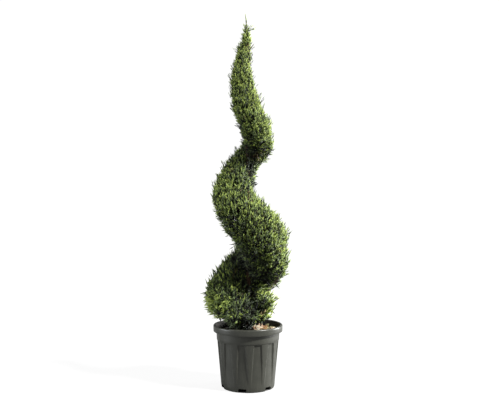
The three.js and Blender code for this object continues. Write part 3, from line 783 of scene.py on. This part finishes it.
def branch_lines():
    """Branches as points and radii, each from the trunk out to within the clipped outline."""
    draw = np.random.default_rng(33)
    limbs = []
    for height, azimuth, thickness in branch_starts(draw):
        wander = 0
        stem = trunk_radius(height)
        points = [point_at(height, azimuth, 0.3 * stem)]
        reach = outline(height + 20, azimuth) - 30
        for step in range(1, BRANCH_STEPS + 1):
            out = stem + (reach - stem) * step / BRANCH_STEPS
            if out < stem + 2:
                break
            wander += draw.normal(0, 2.2)
            lift = BOUGH_RISE * 0.55 * out + 0.0012 * out * out + draw.normal(0, 1.2)
            room_here = outline(height + lift, azimuth + wander) - 16
            room_below = outline(height + lift - 24, azimuth + wander) - 8
            if out > min(room_here, room_below):
                break
            points.append(point_at(min(height + lift, PLANT_TOP - 20), azimuth + wander, out))
        if len(points) > 3:
            radii = thickness * stem * np.linspace(1, 0.22, len(points)) ** 1.1
            limbs.append((np.array(points), radii))
    return limbs


def make_branches(limbs):
    shape = bmesh.new()
    for points, radii in limbs:
        grow(shape, points, radii, 7)
    nodes = [f"bough_{k + 1}" for k in range(len(MASS_TURNS) - 1)]
    piece_from(mesh_from(shape, "boughs"), [TRUNK_BARK], "bark", *nodes)


# -------------------- foliage

THREE_SIDES = np.radians([90, 210, 330])
LEADER = 0
# Each kind of spray: how many forms it has, their side shoots, and those shoots' length and
# width as shares of the spray.
LONG, BROAD, THIN = range(3)
SPRAY_KINDS = ((12, 4, 0.62, 0.072), (6, 5, 0.55, 0.14), (6, 4, 0.24, 0.08))
# Fans of uncut sprays: how many, azimuth and its spread, heights, rises in degrees, length, how
# far past the outline, and tints.
LOOSE_FANS = (
    # the foot's last tuft, its sunlit side in light tints as painted light and its shaded side in dark
    # tints as painted shade, and the skirt at the left
    (110, (TUFT_TURN + 16, 10), (318, 425), (30, 62), 72, 40, (TIP, TIP, FRESH)),
    (60, (TUFT_TURN - 6, 12), (318, 400), (30, 62), 66, 4, (GROWN, OLD, SHADED)),
    (130, (SKIRT_TURN, 24), (296, 400), (-38, 6), 84, 20, (TIP, TIP, FRESH, FRESH, GROWN)),
    # low over the mix, at the front and then at the left in dark tints as painted shade, and under the
    # belly at the right
    (26, (1026, 18), (296, 318), (-20, 20), 46, 10, (FRESH, GROWN, OLD)),
    (60, (938, 22), (252, 290), (-50, -10), 44, 8, (OLD, SHADED)),
    (44, (1074, 14), (408, 446), (4, 38), 60, 36, (FRESH, FRESH, GROWN, OLD)),
)
# The leader's own shoots: height on the stem, direction and length, of the branched ones at its
# sides and of the thin ones that make its point.
SIDE_SHOOTS = ((1550, (0.95, -0.1, 0.2), 46), (1556, (0.9, -0.1, 0.42), 40), (1543, (-0.3, -0.2, 1), 44))
POINT_SHOOTS = (
    (1564, (0.09, 0, 1), 44), (1574, (-0.07, 0, 1), 46), (1580, (0, 0, 1), PLANT_TOP - 1580))
# Dead patches: height, azimuth, radius and the share of their sprays that have browned.
DEAD_PATCHES = ((998, 346, 30, 0.3), (1480, 330, 22, 0.3))
BROWNED_SHARE = 0.006


def spindle(root, tip, width):
    """A scale-leaved shoot: three-sided, pointed at both ends and fullest in its middle."""
    along = unit(tip - root)
    across = unit(np.cross(along, (0.31, 0.17, 0.93)))
    beside = np.cross(along, across)
    belly = root + 0.5 * (tip - root)
    ring = [belly + width / 2 * (math.cos(a) * across + math.sin(a) * beside) for a in THREE_SIDES]
    triangles = [(0, 2, 1), (0, 3, 2), (0, 1, 3), (4, 1, 2), (4, 2, 3), (4, 3, 1)]
    return np.array([root, *ring, tip]), np.array(triangles)


def spray_form(draw, shoots, side_length, width):
    """One branched spray a unit long: a main shoot along Y with alternate side shoots.

    The last array is how young each face is, in steps of tint.
    """
    points, triangles, young = [], [], []
    bend = draw.uniform(-0.16, 0.16)
    lift = draw.uniform(-0.06, 0.16)

    def stem_at(share):
        return np.array([bend * share * share, share, lift * share * share])

    parts = [(stem_at(0), stem_at(0.6), width, 0.1), (stem_at(0.5), stem_at(1), width, 0.7)]
    for k in range(shoots):
        share = 0.1 + 0.62 * (k + draw.uniform(-0.3, 0.3)) / shoots
        side = 1 if k % 2 else -1
        angle = side * math.radians(draw.uniform(9, 30))
        roll = draw.normal(0, 0.9)
        length = side_length * (1 - 0.4 * share) * draw.uniform(0.6, 1.3)
        heading = np.array([
            math.sin(angle) * math.cos(roll), math.cos(angle), math.sin(abs(angle)) * math.sin(roll),
        ])
        root = stem_at(share)
        parts.append((root, root + length * heading, 0.92 * width * draw.uniform(0.8, 1.1), share))
    for k, (root, tip, girth, share) in enumerate(parts):
        form, faces = spindle(root, tip, girth)
        points.append(form)
        triangles.append(faces + 5 * k)
        young += [-int(share < 0.2)] * 3 + [int(share > 0.15) + int(share > 0.4)] * 3
    return np.concatenate(points), np.concatenate(triangles), np.array(young)


def thinned(points, spacing):
    """Numbers of the points kept so that none is closer to another than its spacing."""
    kept = []
    spots = np.empty_like(points)
    for k, point in enumerate(points):
        near = np.linalg.norm(spots[:len(kept)] - point, axis=1)
        if len(kept) == 0 or near.min() > spacing[k]:
            spots[len(kept)] = point
            kept.append(k)
    return np.array(kept)


def looseness(height, azimuth):
    """Share of the clipped tufts left out: in the last tuft and the skirt, and over the chips."""
    tail = 0.85 * tuft_share(azimuth) * ((height > TUFT_HEIGHTS[1]) & (height < TUFT_HEIGHTS[-1]))
    skirt = 0.9 * bell(azimuth, SKIRT_TURN, SKIRT_SPREAD) * np.clip((SKIRT_TOP - height) / 50, 0, 1)
    over_chips = 0.96 * ((height < 300) & (np.cos(np.radians(azimuth)) > -0.16))
    return np.maximum(np.maximum(tail, skirt), over_chips)


def surface_spots(draw, spacing_low, spacing_high, tries, opened):
    """Heights and azimuths spread evenly over the clipped surface."""
    height = draw.uniform(CROWN_FOOT - 4, TOP_SHOOT + 34, tries)
    azimuth = band_at(height, TURN) + draw.uniform(-180, 180, tries)
    here = on_outline(height, azimuth)
    up_step = on_outline(height + 3, azimuth) - here
    side_step = on_outline(height, azimuth + 2) - here
    area = np.linalg.norm(np.cross(side_step, up_step), axis=1) / 3 / 2
    likely = area / area.max() > draw.uniform(0, 1, tries) ** 1.5
    height, azimuth, here = height[likely], azimuth[likely], here[likely]
    spacing = spacing_low + (spacing_high - spacing_low) * crown_share(height)
    kept = thinned(here, spacing)
    closed = draw.uniform(0, 1, len(kept)) > opened * looseness(height[kept], azimuth[kept])
    kept = kept[closed]
    return height[kept], azimuth[kept]


def headings_at(draw, height, azimuth, wander):
    """Places on the outline, and which way shoots point there: outwards and up, level at the foot."""
    here = on_outline(height, azimuth)
    above = on_outline(height + 6, azimuth)
    beside = on_outline(height, azimuth + 2)
    outward = unit(np.cross(beside - here, above - here))
    in_tuft = np.where(tuft_reach(height, azimuth) > 0, tuft_share(azimuth), 0)
    rise = SHOOT_RISE * np.clip((height - LEVEL_SPRAY_TOP) / LEVEL_SPRAY_BAND, 0, 1)
    rise *= np.clip(1 + 1.5 * outward[:, 2], 0.1, 1)
    rise += TUFT_RISE * in_tuft
    heading = outward + wander * draw.uniform(-1, 1, outward.shape)
    heading[:, 2] += rise
    heading[:, 2] = np.maximum(heading[:, 2], np.where(height > LEVEL_SPRAY_TOP, -0.3, -0.5))
    return here, unit(heading)


def nearest_on_limbs(limbs, spots):
    """The place on a branch that each twig springs from: near, and sooner below than above."""
    joints = np.concatenate([points[1:] for points, _ in limbs])
    found = np.empty_like(spots)
    for k, spot in enumerate(spots):
        apart = joints - spot
        cost = np.linalg.norm(apart, axis=1) + np.maximum(apart[:, 2], 0)
        found[k] = joints[np.argmin(cost)]
    return found


def twig_arrays(starts, bends, ends, thick, thin):
    """Three-sided twigs, each a bowed line from start to end, as arrays of points and faces."""
    along = unit(ends - starts)
    across = unit(np.cross(along, (0.2, 0.1, 0.97)))
    beside = np.cross(along, across)
    rings = []
    for share in (0, 0.35, 0.7, 1):
        line = (1 - share) ** 2 * starts + 2 * share * (1 - share) * bends + share * share * ends
        radius = (thick * (1 - share) + thin * share)[:, None]
        for a in THREE_SIDES:
            rings.append(line + radius * (math.cos(a) * across + math.sin(a) * beside))
    points = np.stack(rings, 1)
    faces = [(0, 2, 1), (9, 10, 11)]
    for level in (0, 3, 6):
        for j in range(3):
            a, b = level + j, level + (j + 1) % 3
            faces += [(a, b, b + 3), (a, b + 3, a + 3)]
    triangles = np.array(faces)[None] + len(rings) * np.arange(len(points))[:, None, None]
    return points.reshape(-1, 3), triangles.reshape(-1, 3)


def mass_of(points):
    """Which mass a place belongs to: LEADER, then 1 to 9 down the band."""
    radius, azimuth = band_place(points)
    mass = np.clip(np.searchsorted(MASS_TURNS, azimuth), 1, len(MASS_TURNS) - 1)
    height = points[:, 2]
    flare = wall_radius(height) + np.maximum(height - LEADER_FOOT, 0) / LEADER_FLARE
    return np.where((height > LEADER_FOOT) & (radius < flare), LEADER, mass)


class Sprays:
    """Sprays gathered as arrays: root, direction, facing, length, tint, mass and kind of each."""

    def __init__(self):
        self.columns = [[] for _ in range(7)]

    def take(self, roots, along, facing, lengths, tints, masses, kind):
        kinds = np.full(len(roots), kind)
        for column, new in zip(self.columns, (roots, along, facing, lengths, tints, masses, kinds)):
            column.append(new)

    def joined(self):
        return [np.concatenate(column) for column in self.columns]


def tint_numbers(tones, youngest):
    return np.clip(np.round(tones), youngest, DEEP_SHADE).astype(int)


def clump_noise(points, size):
    """Smooth noise in about -1 to 1 at each point, for hollows and tufts of this size in mm."""
    return np.array([noise.noise(Vector(point) / size) for point in points])


def tuft_sprays(draw, sprays, roots, tips, count, lengths, spread, shade, kind):
    """Fans of sprays from each twig: one at its end and the rest off its sides."""
    along = unit(tips - roots)
    reach = np.linalg.norm(tips - roots, axis=1)
    masses = mass_of(tips)
    share_up = crown_share(tips[:, 2])
    tone = 0.1 + draw.normal(0, 0.3, len(roots)) - 1.2 * clump_noise(tips, 48) - 2 * share_up ** 2
    ragged = 16 * clump_noise(tips, 34) - 9
    most_proud = 34 if kind == LONG else 16
    for k in range(count):
        size = lengths * draw.uniform(0.75, 1.2, len(roots))
        if k == 0:
            heading = along
            size = size * 1.15
            base = tips - heading * (size * draw.uniform(0.85, 1.05, len(roots)))[:, None]
        else:
            aside = any_beside(draw, along)
            lean = np.radians(draw.uniform(0.2, 1, len(roots)) * spread)
            heading = along * np.cos(lean)[:, None] + aside * np.sin(lean)[:, None]
            heading[:, 2] += 0.2
            heading = unit(heading)
            share = 0.1 + 0.66 * (k - 0.5) / count
            base = roots + along * (reach * share)[:, None]
            size = np.minimum(size, reach * (1.3 - share) / np.cos(lean))
        # ends that stand too far past the outline are drawn in towards the axis, or left out
        ends = base + heading * size[:, None]
        end_radius, end_azimuth = band_place(ends)
        room = outline(ends[:, 2], end_azimuth)
        allowed = (30 * draw.uniform(0, 1, len(roots)) ** 6 + ragged) * (1 - 0.45 * share_up)
        proud = end_radius - room - allowed - 4 * (k == 0)
        keep = proud < most_proud
        inward = axis_at(ends[:, 2]) - ends
        base = base + unit(inward) * np.clip(proud, 0, 30)[:, None]
        facing = any_beside(draw, heading)
        # painted shade: the deeper behind the outline, the darker the tint
        depth = np.clip((room - end_radius) / 26, 0, 1)
        shade_painted = shade * np.clip(2 * depth, 0.2, 1) if kind == BROAD else shade
        tint = GROWN + tone + shade_painted + draw.normal(0, 0.9, len(roots)) + 3 * depth - 0.3 * (k == 0)
        columns = (base, heading, facing, size, tint_numbers(tint, FRESH), masses)
        sprays.take(*[column[keep] for column in columns], kind)


def twigs_from(limbs, roots, tips, thick):
    """Twigs that rise from the nearest branch to each tuft and run on up its middle."""
    starts = nearest_on_limbs(limbs, roots)
    bends = (starts + roots) / 2
    bends[:, 2] -= 0.12 * np.linalg.norm(roots - starts, axis=1)
    return twig_arrays(starts, bends, roots + (tips - roots) * 0.75, thick, 0.4 * thick)


def shade_of(height, azimuth, heading):
    """Painted shade: how many tints darker sprays are made than on the ridge.

    They are so in the groove, on undersides, at the crown's foot, between the foot and the belly,
    and where the next turn hangs over them.
    """
    groove, reach = band_at(height, GROOVE), band_at(height, REACH)
    fullness = (outline(height, azimuth) - groove) / np.maximum(reach - groove, 1)
    fullness = np.where(tuft_reach(height, azimuth) > 60, 1, fullness)
    foot = np.clip((322 - height) / 50, 0, 1)
    from_shadow = (azimuth - BELLY_SHADOW_TURN) / BELLY_SHADOW_SPREAD
    under_belly = np.exp(-(from_shadow ** 2)) * (height < BELLY_SHADOW_TOP)
    overhang = outline(height + TURN_ABOVE, azimuth) - outline(height, azimuth)
    return (1.8 * (1 - fullness) ** 2 + 0.5 * np.clip(-heading[:, 2], 0, 1) + 1.6 * foot
            + 1.2 * under_belly + 1.2 * (1 - fullness) * np.clip(overhang / 50, 0, 1))


def outer_coat(draw, sprays, limbs):
    """Tufts that end on the clipped outline, in soft hollows and swellings."""
    height, azimuth = surface_spots(
        draw, spacing_low=20, spacing_high=12.5, tries=60000, opened=1)
    here, heading = headings_at(draw, height, azimuth, wander=0.4)
    share = crown_share(height)
    depth = 54 - 26 * share
    swell = clump_noise(here, 44) * (11 - 6 * share)
    tips = here + heading * (swell + draw.uniform(-7, 6, len(here)))[:, None]
    roots = tips - heading * depth[:, None]
    radius, _ = band_place(roots)
    short = np.maximum(trunk_radius(roots[:, 2]) + 3 - radius, 0)
    roots = roots + heading * np.minimum(short * 1.3, depth * 0.5)[:, None]
    shade = shade_of(height, azimuth, heading)
    tuft_sprays(
        draw, sprays, roots, tips, count=6, lengths=62 - 24 * share, spread=28, shade=shade,
        kind=LONG)
    return twigs_from(limbs, roots, tips, 1.3 - 0.6 * share)


def inner_coat(draw, sprays, limbs):
    """Sprays behind the outer ones, which close the view to the stem, tinted dark as painted shade."""
    height, azimuth = surface_spots(
        draw, spacing_low=22, spacing_high=14, tries=26000, opened=0.45)
    here, heading = headings_at(draw, height, azimuth, wander=0.6)
    share = crown_share(height)
    behind = np.minimum(32 - 14 * share, 0.5 * outline(height, azimuth))
    tips = here - heading * behind[:, None]
    roots = tips - heading * (36 - 16 * share)[:, None]
    tuft_sprays(
        draw, sprays, roots, tips, count=4, lengths=54 - 22 * share, spread=75, shade=3.6,
        kind=BROAD)
    return twigs_from(limbs, roots, tips, 1.5 - 0.7 * share)


def stem_coat(draw, sprays):
    """Short sprays on the stem itself, seen in the grooves between the band's turns, tinted dark as
    painted shade.
    """
    heights = np.arange(300, 1500, 2.2)
    count = len(heights)
    azimuth = np.degrees(np.arange(count) * 2.4) + draw.uniform(-20, 20, count)
    turn = band_at(heights, TURN)
    azimuth = turn + (azimuth - turn + 180) % 360 - 180
    roots = point_at(heights, azimuth, trunk_radius(heights))
    heading = unit(roots - axis_at(heights)) * 0.8 + draw.uniform(-0.3, 0.3, roots.shape)
    heading[:, 2] += 0.7
    heading = unit(heading)
    lengths = (46 - 26 * crown_share(heights)) * draw.uniform(0.7, 1.15, count)
    facing = any_beside(draw, heading)
    tints = tint_numbers(draw.normal(SHADED, 0.8, count), GROWN)
    sprays.take(roots, heading, facing, lengths, tints, mass_of(roots + heading * 12), BROAD)


def leader_shoot(draw, sprays):
    """The uncut tip: short sprays round a thin shoot, then its side shoots and the point itself."""
    heights = np.linspace(TOP_SHOOT - 24, TOP_SHOOT + 70, 84)
    count = len(heights)
    out = np.radians(draw.uniform(12, 50, count))
    around = np.radians(np.arange(count) * 137.5)
    heading = np.stack([np.cos(around) * np.sin(out), np.sin(around) * np.sin(out), np.cos(out)], -1)
    lengths = np.interp(heights, [TOP_SHOOT, TOP_SHOOT + 70], [44, 20])
    lengths = lengths * draw.uniform(0.8, 1.15, count)
    facing = any_beside(draw, heading)
    tints = draw.choice((TIP, FRESH, GROWN), count)
    masses = np.full(count, LEADER)
    sprays.take(axis_at(heights), heading, facing, lengths, tints, masses, LONG)
    for shoots, kind in ((SIDE_SHOOTS, LONG), (POINT_SHOOTS, THIN)):
        heights, heading, lengths = (np.array(column, float) for column in zip(*shoots))
        heading = unit(heading)
        facing = any_beside(draw, heading)
        tints = np.full(len(shoots), FRESH)
        masses = np.full(len(shoots), LEADER)
        sprays.take(axis_at(heights), heading, facing, lengths, tints, masses, kind)


def loose_fan(draw, sprays, count, azimuths, heights, rises, depth, beyond, tints):
    """Long uncut sprays: normal in azimuth, even in height and rise, ending about the outline."""
    azimuth = draw.normal(*azimuths, count)
    height = draw.uniform(*heights, count)
    rise = np.radians(draw.uniform(*rises, count))
    lengths = draw.uniform(0.8, 1.15, count) * depth
    tips = point_at(height, azimuth, outline(height, azimuth) + draw.uniform(-16, beyond, count))
    around = np.radians(azimuth + draw.normal(0, 12, count))
    heading = np.stack(
        [np.cos(around) * np.cos(rise), np.sin(around) * np.cos(rise), np.sin(rise)], -1)
    roots = tips - heading * lengths[:, None]
    facing = any_beside(draw, heading)
    sprays.take(roots, heading, facing, lengths, draw.choice(tints, count), mass_of(tips), LONG)


def strays(draw, sprays):
    """Thin shoots that the shears missed, a few side by side, out and up past the outline."""
    height = draw.uniform(LEVEL_SPRAY_TOP, TOP_SHOOT, STRAY_CLUMPS)
    azimuth = band_at(height, TURN) + draw.normal(0, 75, STRAY_CLUMPS)
    here, heading = headings_at(draw, height, azimuth, wander=0.35)
    beyond = 30 * draw.uniform(0, 1, STRAY_CLUMPS) ** 1.2 * (1 - 0.4 * crown_share(height))
    each = np.arange(STRAY_CLUMPS).repeat(STRAYS_IN_CLUMP)
    height = height[each]
    azimuth = azimuth[each]
    heading = unit(heading[each] * (1, 1, 1.2) + (0, 0, 0.15) + draw.normal(0, 0.1, (len(each), 3)))
    tips = here[each] + heading * beyond[each][:, None] + draw.normal(0, 5, heading.shape)
    lengths = (58 - 22 * crown_share(height)) * draw.uniform(0.8, 1.2, len(each))
    roots = tips - heading * lengths[:, None]
    facing = any_beside(draw, heading)
    # painted shade: the strays darken where shade_of puts shade
    tones = draw.normal(GROWN, 0.9, len(each)) + 1.5 * shade_of(height, azimuth, heading)
    sprays.take(roots, heading, facing, lengths, tint_numbers(tones, TIP), mass_of(tips), THIN)


def brown(draw, roots, along, lengths, tints):
    """Turns sprays brown: a share of those in the dead patches, and a few anywhere."""
    ends = roots + along * lengths[:, None]
    for height, azimuth, radius, share in DEAD_PATCHES:
        centre = on_outline(np.array([float(height)]), np.array([float(azimuth)]))
        near = np.linalg.norm(ends - centre, axis=1) < radius
        tints[near & (draw.uniform(0, 1, len(tints)) < share)] = BROWNED
    tints[draw.uniform(0, 1, len(tints)) < BROWNED_SHARE] = BROWNED


def make_sprays(draw, sprays):
    """A piece for each mass: every spray is a copy of one of its kind's forms, turned into place."""
    roots, along, facing, lengths, tints, masses, kinds = sprays.joined()
    brown(draw, roots, along, lengths, tints)
    forms = [[spray_form(draw, *look) for _ in range(count)] for count, *look in SPRAY_KINDS]
    chosen = draw.integers(0, 1000, len(roots))
    side = np.cross(along, facing)
    for mass in range(len(MASS_TURNS)):
        points, triangles, colours = [], [], []
        offset = 0
        for kind, family in enumerate(forms):
            for number, (form, faces, young) in enumerate(family):
                alike = (kinds == kind) & (chosen % len(family) == number)
                picked = np.flatnonzero((masses == mass) & alike)
                if len(picked) == 0:
                    continue
                turn = np.stack([side[picked], along[picked], facing[picked]], 1)
                placed = np.einsum("pc,ncd->npd", form, turn) * lengths[picked][:, None, None]
                placed += roots[picked][:, None, :]
                points.append(placed.reshape(-1, 3))
                numbers = faces[None] + len(form) * np.arange(len(picked))[:, None, None]
                triangles.append((numbers + offset).reshape(-1, 3))
                tint = np.clip(tints[picked][:, None] + 1 - young[None], TIP, DEEP_SHADE)
                tint[tints[picked] == BROWNED] = BROWNED
                colours.append(tint.reshape(-1))
                offset += placed.shape[0] * placed.shape[1]
        part = "leader" if mass == LEADER else mass
        mesh = mesh_from_arrays(
            f"sprays_{part}", np.concatenate(points), np.concatenate(triangles),
            np.concatenate(colours))
        piece_from(mesh, LEAF_TINTS, "foliage", f"foliage_{part}")


def make_foliage(limbs):
    """Coats of sprays on twigs from the branches, the loose ones, and then their pieces."""
    draw = np.random.default_rng(4)
    sprays = Sprays()
    outer_points, outer_faces = outer_coat(draw, sprays, limbs)
    inner_points, inner_faces = inner_coat(draw, sprays, limbs)
    stem_coat(draw, sprays)
    leader_shoot(draw, sprays)
    for fan in LOOSE_FANS:
        loose_fan(draw, sprays, *fan)
    strays(draw, sprays)
    make_sprays(draw, sprays)
    points = np.concatenate([outer_points, inner_points])
    triangles = np.concatenate([outer_faces, inner_faces + len(outer_points)])
    piece_from(mesh_from_arrays("twigs", points, triangles), [TWIG_BARK], "bark")


# -------------------- floor

def make_floor():
    shape = bmesh.new()
    bmesh.ops.create_grid(shape, x_segments=1, y_segments=1, size=30)
    floor = in_scene("floor", mesh_from(shape, "floor", smooth=False))
    # matt white studio floor: over-exposed where it is seen, so that it runs into the backdrop
    made, tree, lit = new_material("white_studio_floor")
    feed(lit, {"Base Color": (0.2, 0.2, 0.2, 1), "Roughness": 1.0, "Specular IOR Level": 0.0})
    faint = add(tree, "BsdfPrincipled", {
        "Base Color": (0.09, 0.09, 0.09, 1), "Roughness": 1.0, "Specular IOR Level": 0.0,
        "Emission Color": (1, 1, 1, 1), "Emission Strength": 0.9,
    })["BSDF"]
    place = add(tree, "TexCoord", {})["Object"]
    seen = add(tree, "LightPath", {})["Is Camera Ray"]
    away = add(tree, "VectorMath", {0: place}, operation="LENGTH")["Value"]
    clear = add(tree, "Math", {0: away, 1: (BASE_RADIUS - 6) * MM}, operation="GREATER_THAN")["Value"]
    shown = add(tree, "Math", {0: seen, 1: clear}, operation="MULTIPLY")["Value"]
    either = add(tree, "MixShader", {"Fac": shown, 1: lit.outputs["BSDF"], 2: faint})["Shader"]
    feed(tree.nodes["Material Output"], {"Surface": either})
    floor.data.materials.append(made)


make_camera()
make_studio()
make_floor()
make_pot()
make_soil()
make_top_dressing()
make_chips()
make_trunk()
LIMBS = branch_lines()
make_branches(LIMBS)
make_foliage(LIMBS)
